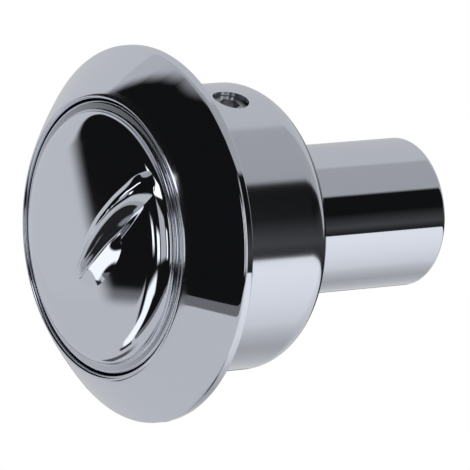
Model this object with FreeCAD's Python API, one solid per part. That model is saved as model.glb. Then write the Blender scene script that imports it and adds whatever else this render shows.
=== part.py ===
"""Wall push button that works a cistern valve through the wall, in millimetres.

The axis of the button runs along Y: the button faces -Y, the wall's face is the plane Y = 0, and the
push rod leaves towards +Y. +Z is up, and the origin lies on the axis in the wall's face.
"""
import FreeCAD, Part
import math
import os

V = FreeCAD.Vector
ORIGIN = V(0, 0, 0)
AXIS = V(0, 1, 0)

# Clearances
running_gap = 0.06  # radial, round what slides
skirt_gap = 0.1  # radial, round the button's skirt
static_gap = 0.03  # radial, between pieces pushed together by hand
thread_gap = 0.05  # radial, between an outer and an inner thread
screw_gap = 0.2  # radial, round a plain screw end
stop_gap = 0.3  # axial, between two stops at rest
seal_gap = 0.03  # round a seal in its groove

# Travel of the button
travel = 7.0
travel_spare = 1.8  # from the pressed annulus to the well's floor

# Wall flange
flange_radius = 40.0
rim_round = 0.9
rim_back_round = 0.5
rim_inset = 0.5  # radial, from the rim to the face's edge
face_edge_depth = 2.4
lip_corner_depth = 11.7
lip_round = 0.8
face_width = 10.75  # radial, from the rim to the well
face_crown = 0.25  # height of the face's arc over its chord
web = 2.5
hub_wall = 1.05
land_width = 2.4
gasket_thickness = 2.0
gasket_side_gap = 0.2
pocket_start = 0.16  # share of the way from the hub to the land
pocket_finish = 0.66  # share of the same way
pocket_skin = 2.1
spigot_length = 16.5
spigot_wall = 2.4

# Housing
housing_step = 0.4  # radial, from the hub to the housing
housing_wall = 2.5
housing_end = 28.6
housing_corner = 6.8
housing_floor = 3.5

# Set screw that locks the flange in the housing
screw_station = 14.6
screw_angle = 69.0
screw_radius = 3.9
screw_sink = 1.1
screw_mouth = 0.35
dog_radius = 2.0
dog_reach = 1.9
socket_flats = 4.0
socket_depth = 1.0

# Barrel and its lock nut
barrel_radius = 16.0
barrel_wall = 3.0
barrel_end = 68.0
barrel_edge = 1.3
neck_step = 0.2
neck_proud = 1.0
bush_recess = 0.6  # radial, wider than the barrel's bore
lock_nut_wall = 3.15
lock_nut_height = 4.0

# Button
button_gap = 0.4  # radial, the dark line between the lip and the button
annulus_front = -10.6
annulus_thickness = 1.8
annulus_edge = 0.5
annulus_width = 2.15
disc_front = -13.0
disc_dome = 0.8
disc_edge = 1.0
disc_root = 0.7
skin = 2.8
skirt_wall = 2.4
skirt_end = 8.0
boss_radius = 8.5
boss_end = -2.0
boss_hole_depth = 8.7

# Fin on the button: the line from head to tip that its sections are measured from, seen from the front as X, Z
fin_head_x = 18.3
fin_head_z = 16.0
fin_tip_x = -4.6
fin_tip_z = -6.3
fin_embed = 1.2
fin_foot_height = -0.2
# Each section: share of the line, left side, crest height and drop to the left side, right side of the top and
# drop to it, flank's foot and height there, ledge's foot
fin_stations = [
    (-0.05, 0.9, -0.5, 0.4, 2.4, 0.2, 3.4, -0.75, 3.9),
    (0, 0.4, 0.7, 0.5, 3.1, 0.25, 5, -0.65, 5.5),
    (0.05, 0, 1.85, 0.8, 3.4, 0.3, 5.9, -0.6, 6.5),
    (0.12, 0, 3, 1.1, 3.5, 0.3, 6, -0.6, 7.1),
    (0.25, 0, 4.3, 0.95, 3.3, 0.3, 5.2, -0.5, 7.8),
    (0.4, 0, 4.9, 0.8, 3, 0.3, 4.6, -0.1, 9),
    (0.5, 0.05, 5, 0.75, 2.9, 0.3, 4.3, 0.5, 9.8),
    (0.62, 0.25, 4.8, 0.7, 2.8, 0.3, 3.9, 1.1, 10.2),
    (0.75, 0.7, 4.3, 0.65, 2.8, 0.3, 3.6, 1.4, 10),
    (0.87, 1.05, 3.55, 0.6, 2.7, 0.3, 3.3, 1.4, 9.5),
    (0.93, 1.1, 2.9, 0.5, 2.6, 0.3, 3.1, 1.25, 8.9),
    (0.98, 1.1, 2.1, 0.4, 2.5, 0.25, 2.9, 1.05, 8.1),
    (1.03, 1.5, 1.2, 0.3, 2.4, 0.2, 2.8, 0.8, 6.4),
]

# Stem, washers and nuts
stem_radius = 6.0
stem_thread = 5.0
stem_end = 40.0
stem_thread_hole = 12.0
stem_nut_flats = 17.0
stem_nut_height = 5.0
bush_head_step = 0.4  # radial, inside the barrel's neck
bush_head = 2.0
bush_length = 14.0
washer_thickness = 1.0
spring_washer_radius = 13.6
stop_washer_radius = 10.0
stop_ring_thickness = 1.0
stop_ring_radius = 8.4
stop_groove = 0.8
stop_ring_opening = 3.0

# Return spring
spring_wire = 1.8
spring_mean = 11.2
spring_turns = 6.5
spring_wire_sides = 12
spring_end_gap = 0.05

# Push rod and the barrel's end
rod_radius = 4.0
rod_nut_flats = 13.0
rod_nut_height = 5.0
rod_stop = 1.0
end_bush_length = 9.0
end_bush_start = 56.5
ring_thickness = 1.0
ring_width = 1.9
ring_groove = 0.6
ring_opening = 4.0
tip_radius = 6.5
tip_start = 67.2
tip_end = 73.0
tip_edge = 2.0
tip_hole = 4.0

# Seals
button_seal_section = 0.73
button_seal_station = 2.5
spigot_seal_section = 0.6
spigot_seal_station = 6.0
barrel_seal_section = 0.62
seal_side = 0.25

# Places that follow from the sizes above
well_floor = annulus_front + annulus_thickness + travel + travel_spare
seat = well_floor + web
face_edge_radius = flange_radius - rim_inset
well_radius = flange_radius - face_width
land_inner = flange_radius - land_width
hub_radius = well_radius + hub_wall
fin_head = V(fin_head_x, 0, fin_head_z)
fin_tip = V(fin_tip_x, 0, fin_tip_z)
fin_base = disc_front - disc_dome / 2
housing_radius = hub_radius + housing_step
housing_bore = housing_radius - housing_wall
spigot_radius = housing_bore - static_gap
spigot_bore = spigot_radius - spigot_wall
spigot_end = seat + spigot_length
housing_floor_front = housing_end - housing_floor
button_radius = well_radius - button_gap
disc_radius = button_radius - annulus_width
skirt_radius = spigot_bore - skirt_gap
ceiling = disc_front + skin
neck_radius = barrel_radius - neck_step
barrel_bore = barrel_radius - barrel_wall
bush_recess_bore = barrel_bore + bush_recess
bush_head_radius = neck_radius - bush_head_step
lock_nut_flats = 2 * (neck_radius + thread_gap + lock_nut_wall)
barrel_front = housing_floor_front - lock_nut_height - neck_proud
bush_front = barrel_front - bush_head
bush_back = barrel_front + bush_length
washer_front = bush_front - washer_thickness
stop_front = bush_back + stop_gap
stop_ring_front = stop_front + washer_thickness
shoulder = boss_end + stem_nut_height
end_bush_end = end_bush_start + end_bush_length


def turned(*outline):
    """Solid of revolution about the axis from (radius, y) points; a point of three is an arc's middle."""
    edges = []
    places = list(outline) + [outline[0]]
    i = 0
    while i < len(places) - 1:
        start = V(places[i][0], places[i][1], 0)
        following = places[i + 1]
        if len(following) == 3:
            end = places[i + 2]
            middle = V(following[0], following[1], 0)
            edges.append(Part.Arc(start, middle, V(end[0], end[1], 0)).toShape())
            i += 2
        else:
            edges.append(Part.LineSegment(start, V(following[0], following[1], 0)).toShape())
            i += 1
    face = Part.Face(Part.Wire(edges))
    return face.revolve(ORIGIN, AXIS, 360)


def cylinder(radius, start, end):
    """Solid cylinder along the axis between two stations."""
    return Part.makeCylinder(radius, end - start, V(0, start, 0), AXIS)


def ring(outer, inner, start, end):
    """Plain ring along the axis."""
    return turned((inner, start), (outer, start), (outer, end), (inner, end))


def edges_at(shape, circles):
    """The shape's circular edges that match one of the given (radius, y)."""
    chosen = []
    for edge in shape.Edges:
        if edge.Degenerated or edge.Curve.TypeId != "Part::GeomCircle":
            continue
        curve = edge.Curve
        for radius, station in circles:
            if abs(curve.Radius - radius) < 1e-4 and abs(curve.Center.y - station) < 1e-4:
                chosen.append(edge)
    return chosen


def rounded(shape, size, *circles):
    """The shape with the circular edges of the given (radius, y) rounded by size."""
    return shape.makeFillet(size, edges_at(shape, circles))


def bevelled(shape, size, *circles):
    """The shape with the circular edges of the given (radius, y) chamfered by size."""
    return shape.makeChamfer(size, edges_at(shape, circles))


def hex_prism(flats, start, end):
    """Hexagonal prism along the axis, measured across its flats."""
    corner = flats / math.sqrt(3)
    points = []
    for i in range(7):
        turn = math.radians(60 * i)
        points.append(V(corner * math.cos(turn), start, corner * math.sin(turn)))
    face = Part.Face(Part.makePolygon(points))
    return face.extrude(V(0, end - start, 0))


def hex_nut(flats, bore, start, end):
    """Hexagon nut whose corners are turned away at both faces."""
    corner = flats / math.sqrt(3)
    slope = (corner - flats / 2) * 0.6
    envelope = turned(
        (0, start), (flats / 2, start), (corner, start + slope),
        (corner, end - slope), (flats / 2, end), (0, end),
    )
    return hex_prism(flats, start, end).common(envelope).cut(cylinder(bore, start, end))


def o_ring(centre_radius, station, section):
    """Round-section seal about the axis."""
    return Part.makeTorus(centre_radius, section, V(0, station, 0), AXIS)


def split_ring(outer, inner, start, end, gap):
    """Snap ring with an opening of the given width at its lowest point."""
    slot = Part.makeBox(gap, end - start, outer, V(-gap / 2, start, -outer))
    return ring(outer, inner, start, end).cut(slot)


def radial(shape):
    """Turns a solid made along +Z to the set screw's angle."""
    shape.rotate(ORIGIN, AXIS, 90 - screw_angle)
    return shape


def button_seal_groove():
    """Radius of the groove's floor under the button's seal."""
    return spigot_bore - seal_gap - 2 * button_seal_section - seal_gap


def spigot_seal_groove():
    """Radius of the groove's floor under the spigot's seal."""
    return housing_bore - seal_gap - 2 * spigot_seal_section - seal_gap


def barrel_seal_groove():
    """Radius of the groove's floor over the barrel's seal."""
    return neck_radius + seal_gap + 2 * barrel_seal_section + seal_gap


def make_wall_flange():
    """Cone with a rim, a lip, the well that the button sinks into and the spigot behind it."""
    pocket_inner = hub_radius + pocket_start * (land_inner - hub_radius)
    pocket_outer = hub_radius + pocket_finish * (land_inner - hub_radius)
    slope = (lip_corner_depth - face_edge_depth) / (face_edge_radius - well_radius)
    rim_corner = face_edge_depth - slope * (flange_radius - face_edge_radius)
    tilt = math.atan(slope)
    crown_radius = (well_radius + flange_radius) / 2 + face_crown * math.sin(tilt)
    crown_depth = (lip_corner_depth + rim_corner) / 2 + face_crown * math.cos(tilt)
    pocket_near = face_edge_depth + slope * (face_edge_radius - pocket_inner) - pocket_skin
    pocket_far = face_edge_depth + slope * (face_edge_radius - pocket_outer) - pocket_skin
    body = turned(
        (well_radius, -lip_corner_depth),
        (crown_radius, -crown_depth, 0),
        (flange_radius, -rim_corner),
        (flange_radius, 0),
        (land_inner, 0),
        (land_inner, -gasket_thickness),
        (pocket_outer, -gasket_thickness),
        (pocket_outer, -pocket_far),
        (pocket_inner, -pocket_near),
        (pocket_inner, -gasket_thickness),
        (hub_radius, -gasket_thickness),
        (hub_radius, seat),
        (spigot_radius, seat),
        (spigot_radius, spigot_end),
        (spigot_bore, spigot_end),
        (spigot_bore, well_floor),
        (well_radius, well_floor),
    )
    body = rounded(body, lip_round, (well_radius, -lip_corner_depth))
    body = rounded(body, rim_round, (flange_radius, -rim_corner))
    body = rounded(body, rim_back_round, (flange_radius, 0))
    body = bevelled(body, 0.6, (spigot_radius, spigot_end))
    half = spigot_seal_section + seal_side
    floor = spigot_seal_groove()
    groove = ring(spigot_radius + 1, floor, spigot_seal_station - half, spigot_seal_station + half)
    dimple = Part.makeCylinder(dog_radius + screw_gap, spigot_radius, V(0, screw_station, 0), V(0, 0, 1))
    return body.cut(groove).cut(radial(dimple))


def make_wall_gasket():
    """Flat rubber ring in the flange's back, flush with its land."""
    inner = hub_radius + gasket_side_gap
    return ring(land_inner - gasket_side_gap, inner, -gasket_thickness, 0)


def make_housing():
    """Cup behind the flange with the threaded hole for the set screw in its side."""
    inner_corner = housing_corner - housing_wall
    cup = cylinder(housing_radius, seat, housing_end)
    cup = rounded(cup, housing_corner, (housing_radius, housing_end))
    room = cylinder(housing_bore, seat, housing_floor_front)
    room = rounded(room, inner_corner, (housing_bore, housing_floor_front))
    hole = cylinder(neck_radius + thread_gap, housing_floor_front, housing_end)
    half = barrel_seal_section + seal_side
    middle = (housing_floor_front + housing_end) / 2
    groove = cylinder(barrel_seal_groove(), middle - half, middle + half)
    screw_hole = Part.makeCylinder(
        screw_radius + thread_gap, housing_radius + 1, V(0, screw_station, 0), V(0, 0, 1)
    )
    wide = screw_radius + 1 + screw_mouth
    top = math.sqrt(housing_radius ** 2 - screw_radius ** 2) + 1
    mouth = Part.makeCone(0, wide, wide, V(0, screw_station, top - wide), V(0, 0, 1))
    return cup.cut(room).cut(hole).cut(groove).cut(radial(screw_hole)).cut(radial(mouth))


def make_flange_set_screw():
    """Socket set screw with a dog point, seen along its own axis from the side of the housing."""
    top = housing_radius - screw_sink
    waist = spigot_radius + screw_gap
    body = Part.makeCylinder(screw_radius, top - waist, V(0, screw_station, waist), V(0, 0, 1))
    outer = body.Edges
    rim = [e for e in outer if e.Curve.TypeId == "Part::GeomCircle" and e.Curve.Center.z > top - 1e-3]
    body = body.makeChamfer(0.3, rim)
    dog = Part.makeCylinder(dog_radius, dog_reach, V(0, screw_station, waist - dog_reach), V(0, 0, 1))
    corner = socket_flats / math.sqrt(3)
    points = []
    for i in range(7):
        turn = math.radians(60 * i)
        points.append(V(corner * math.cos(turn), screw_station + corner * math.sin(turn), top))
    socket = Part.Face(Part.makePolygon(points)).extrude(V(0, 0, -socket_depth))
    return radial(body.fuse(dog).cut(socket).removeSplitter())


def make_spigot_seal():
    """Seal between the flange's spigot and the housing."""
    return o_ring(housing_bore - seal_gap - spigot_seal_section, spigot_seal_station, spigot_seal_section)


def make_barrel():
    """Tube that guides the push rod through the wall, with a threaded neck in the housing."""
    tube = turned(
        (barrel_bore, barrel_front),
        (neck_radius, barrel_front),
        (neck_radius, housing_end),
        (barrel_radius, housing_end),
        (barrel_radius, barrel_end),
        (bush_recess_bore, barrel_end),
        (bush_recess_bore, end_bush_start),
        (barrel_bore, end_bush_start),
    )
    tube = rounded(tube, barrel_edge, (barrel_radius, barrel_end))
    tube = bevelled(tube, 0.5, (neck_radius, barrel_front))
    groove = cylinder(bush_recess_bore + ring_groove, end_bush_end, end_bush_end + ring_thickness)
    return tube.cut(groove)


def make_barrel_lock_nut():
    """Thin hexagon nut that clamps the barrel to the housing's floor."""
    start = housing_floor_front - lock_nut_height
    return hex_nut(lock_nut_flats, neck_radius + thread_gap, start, housing_floor_front)


def make_barrel_seal():
    """Seal between the barrel's neck and the housing's floor."""
    middle = (housing_floor_front + housing_end) / 2
    return o_ring(neck_radius + seal_gap + barrel_seal_section, middle, barrel_seal_section)


def make_stem_guide_bush():
    """Flanged bush in the front of the barrel that the stem slides in."""
    sleeve = barrel_bore - static_gap
    bore = stem_radius + running_gap
    bush = turned(
        (bore, bush_front),
        (bush_head_radius, bush_front),
        (bush_head_radius, barrel_front),
        (sleeve, barrel_front),
        (sleeve, bush_back),
        (bore, bush_back),
    )
    return bevelled(bush, 0.6, (sleeve, bush_back), (bore, bush_front), (bush_head_radius, bush_front))


def make_spring_washer():
    """Flat washer that the return spring stands on."""
    return ring(spring_washer_radius, stem_radius + screw_gap, washer_front, bush_front)


def make_return_spring():
    """Compression spring between the button and the washer, ground flat at both ends."""
    length = washer_front - ceiling - spring_end_gap
    pitch = length / spring_turns
    helix = Part.makeHelix(pitch, length + spring_wire, spring_mean)
    corners = []
    for i in range(spring_wire_sides + 1):
        turn = 2 * math.pi * (i + 0.5) / spring_wire_sides
        x = spring_mean + spring_wire / 2 * math.cos(turn)
        corners.append(V(x, 0, spring_wire / 2 * math.sin(turn)))
    coil = Part.Wire(helix).makePipeShell([Part.makePolygon(corners)], True, True)
    coil.translate(V(0, 0, -spring_wire / 2))
    slab = Part.makeCylinder(spring_mean + spring_wire, length)
    coil = coil.common(slab).Solids[0]
    coil.rotate(ORIGIN, V(1, 0, 0), -90)
    coil.translate(V(0, ceiling + spring_end_gap, 0))
    return coil


def fin_section(share, left, crest, shoulder, top, fall, toe, ledge, foot):
    """Closed wire across the fin: left wall, crest, flank, sloping ledge and right wall."""
    along = fin_tip.sub(fin_head)
    place = fin_head + along * share
    along.normalize()
    across = V(-along.z, 0, along.x)
    points = [
        (left, -fin_embed),
        (left, crest - shoulder),
        ((left + top) / 2, crest),
        (top, crest - fall),
        (toe, ledge),
        ((toe + foot) / 2, 0.6 * ledge + 0.4 * fin_foot_height),
        (foot, fin_foot_height),
        (foot, -fin_embed),
        (left, -fin_embed),
    ]
    return Part.makePolygon([place + across * side + V(0, fin_base - height, 0) for side, height in points])


def make_fin():
    """Raised fin that the thumb finds: a crest along its left side and a ledge to its right."""
    fin = Part.makeLoft([fin_section(*station) for station in fin_stations], True, False)
    return fin.common(cylinder(disc_radius - disc_edge / 2, fin_base - disc_radius, fin_base + fin_embed))


def make_button_cap():
    """Cast button: annulus, domed disc with its fin, skirt and the boss for the stem."""
    annulus_back = annulus_front + annulus_thickness
    skirt_bore = skirt_radius - skirt_wall
    rim_rise = disc_dome * 0.25
    body = turned(
        (0, ceiling),
        (0, disc_front - disc_dome),
        (disc_radius / 2, disc_front - disc_dome + rim_rise, 0),
        (disc_radius, disc_front),
        (disc_radius, annulus_front),
        (button_radius, annulus_front),
        (button_radius, annulus_back),
        (skirt_radius, annulus_back),
        (skirt_radius, skirt_end),
        (skirt_bore, skirt_end),
        (skirt_bore, ceiling),
    )
    body = rounded(body, disc_root, (disc_radius, annulus_front))
    body = rounded(body, disc_edge, (disc_radius, disc_front))
    body = rounded(body, annulus_edge, (button_radius, annulus_front))
    boss = cylinder(boss_radius, ceiling, boss_end)
    hole = cylinder(stem_thread + thread_gap, boss_end - boss_hole_depth, boss_end)
    half = button_seal_section + seal_side
    floor = button_seal_groove()
    groove = ring(skirt_radius + 1, floor, button_seal_station - half, button_seal_station + half)
    cap = body.fuse(boss).fuse(make_fin())
    return cap.cut(hole).cut(groove).removeSplitter()


def make_button_seal():
    """Wiper seal in the button's skirt."""
    return o_ring(spigot_bore - seal_gap - button_seal_section, button_seal_station, button_seal_section)


def make_button_stem():
    """Turned stem: thread in the button's boss, groove for the stop ring, tapped end for the rod."""
    groove_floor = stem_radius - stop_groove
    stem = turned(
        (0, boss_end - boss_hole_depth + 0.5),
        (stem_thread, boss_end - boss_hole_depth + 0.5),
        (stem_thread, shoulder),
        (stem_radius, shoulder),
        (stem_radius, stop_ring_front),
        (groove_floor, stop_ring_front),
        (groove_floor, stop_ring_front + stop_ring_thickness),
        (stem_radius, stop_ring_front + stop_ring_thickness),
        (stem_radius, stem_end),
        (rod_radius + thread_gap, stem_end),
        (rod_radius + thread_gap, stem_end - stem_thread_hole),
        (0, stem_end - stem_thread_hole),
    )
    return bevelled(stem, 0.5, (stem_thread, boss_end - boss_hole_depth + 0.5), (stem_radius, stem_end))


def make_stem_lock_nut():
    """Nut that locks the stem in the button's boss."""
    return hex_nut(stem_nut_flats, stem_thread + thread_gap, boss_end, shoulder)


def make_stop_washer():
    """Washer behind the guide bush that stops the button on its way out."""
    return ring(stop_washer_radius, stem_radius + running_gap, stop_front, stop_ring_front)


def make_stop_ring():
    """Snap ring in the stem's groove that carries the stop washer."""
    inner = stem_radius - stop_groove + static_gap
    stop_ring_back = stop_ring_front + stop_ring_thickness
    return split_ring(stop_ring_radius, inner, stop_ring_front, stop_ring_back, stop_ring_opening)


def make_push_rod():
    """Threaded rod that carries the push through the barrel."""
    start = stem_end - stem_thread_hole + rod_stop
    return bevelled(cylinder(rod_radius, start, tip_start + tip_hole), 0.6, (rod_radius, start))


def make_rod_lock_nut():
    """Nut that locks the rod's length against the stem."""
    return hex_nut(rod_nut_flats, rod_radius + thread_gap, stem_end, stem_end + rod_nut_height)


def make_rod_end_bush():
    """Plain bush in the barrel's end that guides the rod."""
    outer = bush_recess_bore - static_gap
    bush = ring(outer, rod_radius + running_gap, end_bush_start, end_bush_end)
    return bevelled(bush, 0.5, (rod_radius + running_gap, end_bush_end))


def make_bush_retaining_ring():
    """Snap ring in the barrel's end that holds the bush."""
    outer = bush_recess_bore + ring_groove - static_gap
    inner = bush_recess_bore - ring_width
    return split_ring(outer, inner, end_bush_end, end_bush_end + ring_thickness, ring_opening)


def make_rod_tip():
    """Plastic tip on the rod that meets the cistern valve's lever."""
    tip = cylinder(tip_radius, tip_start, tip_end)
    tip = rounded(tip, tip_edge, (tip_radius, tip_end))
    return tip.cut(cylinder(rod_radius + thread_gap, tip_start, tip_start + tip_hole))


PIECES = {
    "wall_flange": make_wall_flange,
    "wall_gasket": make_wall_gasket,
    "housing": make_housing,
    "flange_set_screw": make_flange_set_screw,
    "spigot_seal": make_spigot_seal,
    "barrel": make_barrel,
    "barrel_lock_nut": make_barrel_lock_nut,
    "barrel_seal": make_barrel_seal,
    "stem_guide_bush": make_stem_guide_bush,
    "spring_washer": make_spring_washer,
    "return_spring": make_return_spring,
    "button_cap": make_button_cap,
    "button_seal": make_button_seal,
    "button_stem": make_button_stem,
    "stem_lock_nut": make_stem_lock_nut,
    "stop_washer": make_stop_washer,
    "stop_ring": make_stop_ring,
    "push_rod": make_push_rod,
    "rod_lock_nut": make_rod_lock_nut,
    "rod_end_bush": make_rod_end_bush,
    "bush_retaining_ring": make_bush_retaining_ring,
    "rod_tip": make_rod_tip,
}


def main():
    """Writes each piece to its own file."""
    os.makedirs("parts", exist_ok=True)
    for name, make in PIECES.items():
        shape = make()
        print(name, len(shape.Solids), shape.isValid(), round(shape.Volume, 2))
        shape.exportStep(f"parts/{name}.step")


main()
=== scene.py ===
"""Dresses the wall push button in chrome, steel, brass, rubber and plastic, in a plain light studio.

Lengths are in metres, in the model's own frame: the button faces -Y, the wall's face is the plane
Y = 0, +Z is up and the axis of the button runs along Y through the origin.
"""
import logging
import math
from dataclasses import astuple, dataclass
from enum import Enum
from typing import Iterable, Optional, Sequence, Union

import bmesh
import bpy
from mathutils import Matrix, Vector


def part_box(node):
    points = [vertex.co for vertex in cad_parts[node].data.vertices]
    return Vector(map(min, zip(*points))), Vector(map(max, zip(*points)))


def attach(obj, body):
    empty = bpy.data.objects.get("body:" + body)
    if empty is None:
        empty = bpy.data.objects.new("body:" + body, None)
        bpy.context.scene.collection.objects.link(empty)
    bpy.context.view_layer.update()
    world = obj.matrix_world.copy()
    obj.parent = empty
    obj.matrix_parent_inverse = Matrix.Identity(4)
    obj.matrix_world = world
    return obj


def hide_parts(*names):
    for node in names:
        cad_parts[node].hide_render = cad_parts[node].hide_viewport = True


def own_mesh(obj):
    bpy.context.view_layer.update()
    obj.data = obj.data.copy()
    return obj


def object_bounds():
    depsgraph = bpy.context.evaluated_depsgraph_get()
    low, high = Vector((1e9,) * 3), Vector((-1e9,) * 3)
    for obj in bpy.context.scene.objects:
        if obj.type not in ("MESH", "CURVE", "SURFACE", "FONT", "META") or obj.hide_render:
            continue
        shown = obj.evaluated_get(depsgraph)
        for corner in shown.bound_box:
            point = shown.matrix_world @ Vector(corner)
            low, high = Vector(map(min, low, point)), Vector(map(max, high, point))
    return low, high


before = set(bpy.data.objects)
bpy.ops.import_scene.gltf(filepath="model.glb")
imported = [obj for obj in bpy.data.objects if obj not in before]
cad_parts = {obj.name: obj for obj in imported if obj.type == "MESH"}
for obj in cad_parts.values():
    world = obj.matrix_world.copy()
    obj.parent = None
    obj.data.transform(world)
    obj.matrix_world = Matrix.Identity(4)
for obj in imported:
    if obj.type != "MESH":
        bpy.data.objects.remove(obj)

log = logging.getLogger("push_button")

MM = 0.001
AXIS = (0.0, 1.0, 0.0)
CENTRE = (0.0, 0.0, 0.0)
WELD = 1e-7
EDGE_SHARE = 0.42
CAD_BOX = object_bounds()


class Body(Enum):
    """The bodies that the pieces ride on."""

    FIXED = "fixed"
    BUTTON = "button"


class Slot(Enum):
    """The record's material slots."""

    CHROME = "polished_chrome"
    STEEL = "plain_steel"
    BRASS = "turned_brass"
    RUBBER = "black_rubber"
    PLASTIC = "white_plastic"


Value = Union[float, tuple, "Socket", bpy.types.NodeSocket]


class Socket:
    """A shader socket whose arithmetic adds Math nodes."""

    def __init__(self, graph: "Graph", raw: bpy.types.NodeSocket) -> None:
        """Keeps the socket and the graph that it belongs to.

        Args:
            graph: The graph that new nodes are added to.
            raw: The output socket itself.
        """
        self.graph = graph
        self.raw = raw

    def _maths(self, operation: str, first: Value, second: Value) -> "Socket":
        """A Math node on two values."""
        return self.graph.node("ShaderNodeMath", {"operation": operation}, {0: first, 1: second})

    def __add__(self, other: Value) -> "Socket":
        """Sum."""
        return self._maths("ADD", self, other)

    def __radd__(self, other: Value) -> "Socket":
        """Sum, the other way round."""
        return self._maths("ADD", other, self)

    def __sub__(self, other: Value) -> "Socket":
        """Difference."""
        return self._maths("SUBTRACT", self, other)

    def __rsub__(self, other: Value) -> "Socket":
        """Difference, the other way round."""
        return self._maths("SUBTRACT", other, self)

    def __mul__(self, other: Value) -> "Socket":
        """Product."""
        return self._maths("MULTIPLY", self, other)

    def __rmul__(self, other: Value) -> "Socket":
        """Product, the other way round."""
        return self._maths("MULTIPLY", other, self)

    def __truediv__(self, other: Value) -> "Socket":
        """Quotient."""
        return self._maths("DIVIDE", self, other)

    def root(self) -> "Socket":
        """Square root of this value."""
        return self._maths("SQRT", self, 0.0)

    def ramp(self, low: float, high: float, start: float, end: float) -> "Socket":
        """Straight ramp between two values, level beyond them.

        Args:
            low: The value where the ramp starts.
            high: The value where the ramp ends.
            start: The result up to low.
            end: The result from high on.

        Returns:
            The ramped value.
        """
        inputs = {"Value": self, "From Min": low, "From Max": high, "To Min": start, "To Max": end}
        return self.graph.node("ShaderNodeMapRange", {"interpolation_type": "LINEAR"}, inputs)

    def curve(self, *points: tuple[float, float]) -> "Socket":
        """Straight lines through points of this value and its result, level beyond them.

        Args:
            points: The points, by rising value.

        Returns:
            The result for this value.
        """
        result = self.ramp(points[0][0], points[1][0], points[0][1], points[1][1])
        for (low, start), (high, end) in zip(points[1:], points[2:]):
            result = result + self.ramp(low, high, 0.0, end - start)
        return result

    def towards(self, other: Value, share: "Socket") -> "Socket":
        """This value moved towards another by a share."""
        return self + (other - self) * share

    def degrees(self) -> "Socket":
        """This angle in degrees."""
        return self._maths("DEGREES", self, 0.0)

    def step(self, low: float, high: float) -> "Socket":
        """Smooth step from 0 at low to 1 at high.

        Args:
            low: The value where the step starts.
            high: The value where the step ends.

        Returns:
            The stepped value.
        """
        settings = {"interpolation_type": "SMOOTHSTEP"}
        inputs = {"Value": self, "From Min": low, "From Max": high, "To Min": 0.0, "To Max": 1.0}
        return self.graph.node("ShaderNodeMapRange", settings, inputs)

    def band(self, low: float, low_end: float, high: float, high_end: float) -> "Socket":
        """1 between two soft edges and 0 outside them.

        Args:
            low: The value where the first edge starts.
            low_end: The value where the first edge ends.
            high: The value where the second edge starts.
            high_end: The value where the second edge ends.

        Returns:
            The share.
        """
        return self.step(low, low_end) - self.step(high, high_end)


class Graph:
    """A node tree that is written as expressions."""

    def __init__(self, tree: bpy.types.NodeTree) -> None:
        """Empties the tree.

        Args:
            tree: The tree of a material or of the world.
        """
        self.tree = tree
        tree.nodes.clear()

    def node(self, kind: str, settings: Optional[dict] = None, inputs: Optional[dict] = None,
             output: Union[int, str] = 0) -> Socket:
        """Adds a node.

        Args:
            kind: The node's type.
            settings: Properties of the node, set before its sockets.
            inputs: The values or links of its input sockets, by name or number.
            output: The output to return, by name or number.

        Returns:
            The chosen output.
        """
        made = self.tree.nodes.new(kind)
        for name, value in (settings or {}).items():
            setattr(made, name, value)
        for name, value in (inputs or {}).items():
            self._feed(made.inputs[name], value)
        return Socket(self, made.outputs[output])

    def _feed(self, target: bpy.types.NodeSocket, value: Value) -> None:
        """Links or sets one input socket.

        Args:
            target: The input socket.
            value: What it gets.
        """
        if isinstance(value, Socket):
            self.tree.links.new(value.raw, target)
        else:
            target.default_value = value

    def place(self) -> Socket:
        """Object coordinates."""
        return self.node("ShaderNodeTexCoord", {}, {}, "Object")

    def parts(self, vector: Value) -> tuple[Socket, Socket, Socket]:
        """The three parts of a vector.

        Args:
            vector: The vector.

        Returns:
            Its x, y and z.
        """
        first = self.node("ShaderNodeSeparateXYZ", {}, {0: vector})
        made = first.raw.node
        return first, Socket(self, made.outputs[1]), Socket(self, made.outputs[2])

    def noise(self, vector: Value, scale: float, detail: float = 2.0) -> Socket:
        """Noise from 0 to 1.

        Args:
            vector: The coordinates.
            scale: Features per metre.
            detail: Octaves.

        Returns:
            The noise value.
        """
        return self.node("ShaderNodeTexNoise", {}, {"Vector": vector, "Scale": scale, "Detail": detail})

    def stretched(self, vector: Value, scale: tuple[float, float, float]) -> Socket:
        """The vector times a different scale along each axis."""
        return self.node("ShaderNodeMapping", {}, {"Vector": vector, "Scale": scale})

    def mix(self, share: Value, first: Value, second: Value) -> Socket:
        """A colour between two others.

        Args:
            share: 0 gives the first colour and 1 the second.
            first: The first colour.
            second: The second colour.

        Returns:
            The mixed colour.
        """
        made = self.node("ShaderNodeMix", {"data_type": "RGBA"}, {}, 2).raw.node
        self._feed(made.inputs[0], share)
        self._feed(made.inputs[6], first)
        self._feed(made.inputs[7], second)
        return Socket(self, made.outputs[2])

    def bump(self, height: Value, strength: float, distance: float) -> Socket:
        """A bumped normal.

        Args:
            height: The height value.
            strength: Share of the bump that shows.
            distance: The height of a full step, in metres.

        Returns:
            The normal.
        """
        inputs = {"Height": height, "Strength": strength, "Distance": distance}
        return self.node("ShaderNodeBump", {}, inputs)

    def surface(self, **sockets: Value) -> None:
        """Ends a material with a Principled shader.

        Args:
            sockets: The shader's inputs by name, where an underscore stands for a space.
        """
        inputs = {name.replace("_", " "): value for name, value in sockets.items()}
        shader = self.node("ShaderNodeBsdfPrincipled", {}, inputs)
        self.node_end("ShaderNodeOutputMaterial", shader)

    def node_end(self, kind: str, shader: Socket) -> None:
        """Links a shader to the tree's output."""
        end = self.tree.nodes.new(kind)
        self.tree.links.new(shader.raw, end.inputs["Surface"])


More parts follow.
